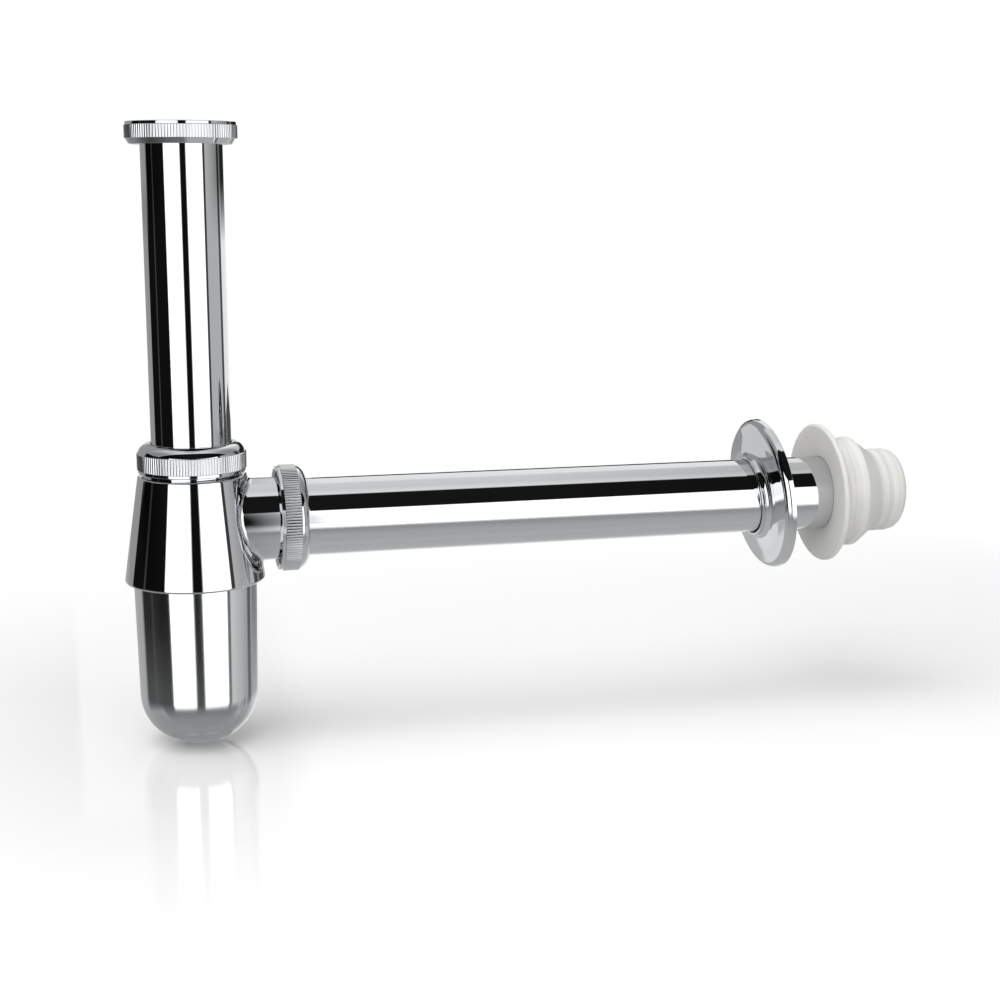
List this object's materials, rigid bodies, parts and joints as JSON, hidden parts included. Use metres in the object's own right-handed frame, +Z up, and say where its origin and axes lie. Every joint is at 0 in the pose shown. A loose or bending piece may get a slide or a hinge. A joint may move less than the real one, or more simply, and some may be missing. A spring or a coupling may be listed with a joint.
{
  "type": "bottle trap",
  "caption": "Chrome bottle trap for a wash basin: ribbed nuts, dip tube, cone body, round-bottomed cup, outlet tube, sliding wall flange and ridged rubber wall sleeve.",
  "frame": {"origin": "centre of the inlet nut's top face, on the inlet thread's axis", "axes": "+Z up along the inlet tube, +X along the outlet tube towards the wall"},
  "size_m": [0.3389, 0.066, 0.2519],
  "materials": {
    "chrome_plate": "polished",
    "black_rubber": "matte",
    "white_plastic": "satin",
    "milky_rubber": "satin"
  },
  "bodies": {
    "inlet_nut": {"inlet_nut": "chrome_plate"},
    "inlet_washer": {"inlet_washer": "black_rubber"},
    "inlet_tube": {"inlet_tube": "chrome_plate"},
    "trap_body": {"trap_body": "chrome_plate", "neck_cone_seal": "black_rubber", "outlet_cone_seal": "black_rubber"},
    "neck_slip_ring": {"neck_slip_ring": "white_plastic"},
    "neck_nut": {"neck_nut": "chrome_plate"},
    "cup_seal": {"cup_seal": "black_rubber"},
    "bottle_cup": {"bottle_cup": "chrome_plate"},
    "outlet_slip_ring": {"outlet_slip_ring": "white_plastic"},
    "outlet_nut": {"outlet_nut": "chrome_plate"},
    "outlet_tube": {"outlet_tube": "chrome_plate"},
    "wall_flange": {"wall_flange": "chrome_plate"},
    "wall_sleeve": {"wall_sleeve": "milky_rubber"}
  },
  "joints": [
    {"name": "inlet_nut_drop", "type": "slide", "parent": "inlet_nut", "child": "inlet_washer", "axis": [0, 0, 1], "range_m": [0, 0.095]},
    {"name": "trap_swivel", "type": "hinge", "parent": "inlet_washer", "child": "inlet_tube", "pos_m": [0, 0, 0], "axis": [0, 0, 1], "continuous": true},
    {"name": "height_adjust", "type": "slide", "parent": "inlet_tube", "child": "trap_body", "axis": [0, 0, 1], "range_m": [-0.045, 0.012]},
    {"name": "neck_nut_lift", "type": "slide", "parent": "trap_body", "child": "neck_slip_ring", "axis": [0, 0, 1], "range_m": [0, 0.007]},
    {"name": "neck_nut_turn", "type": "hinge", "parent": "neck_slip_ring", "child": "neck_nut", "pos_m": [0, 0, -0.131], "axis": [0, 0, 1], "range_deg": [0, 1080]},
    {"name": "cup_drop", "type": "slide", "parent": "trap_body", "child": "cup_seal", "axis": [0, 0, -1], "range_m": [0, 0.0043]},
    {"name": "cup_turn", "type": "hinge", "parent": "cup_seal", "child": "bottle_cup", "pos_m": [0, 0, -0.18], "axis": [0, 0, -1], "range_deg": [0, 1020]},
    {"name": "outlet_nut_shift", "type": "slide", "parent": "trap_body", "child": "outlet_slip_ring", "axis": [1, 0, 0], "range_m": [0, 0.0047]},
    {"name": "outlet_nut_turn", "type": "hinge", "parent": "outlet_slip_ring", "child": "outlet_nut", "pos_m": [0.04, 0, -0.1594], "axis": [1, 0, 0], "range_deg": [0, 720]},
    {"name": "outlet_tube_slide", "type": "slide", "parent": "trap_body", "child": "outlet_tube", "axis": [1, 0, 0], "range_m": [-0.006, 0.012]},
    {"name": "wall_flange_slide", "type": "slide", "parent": "outlet_tube", "child": "wall_flange", "axis": [1, 0, 0], "range_m": [-0.18, 0.018]},
    {"name": "wall_sleeve_slide", "type": "slide", "parent": "outlet_tube", "child": "wall_sleeve", "axis": [1, 0, 0], "range_m": [0, 0.03]}
  ],
  "couplings": [
    {"joint": "neck_nut_lift", "follows": "neck_nut_turn", "m_per_rad": 0.00036749},
    {"joint": "cup_drop", "follows": "cup_turn", "m_per_rad": 0.00023873},
    {"joint": "outlet_nut_shift", "follows": "outlet_nut_turn", "m_per_rad": 0.00036749}
  ]
}
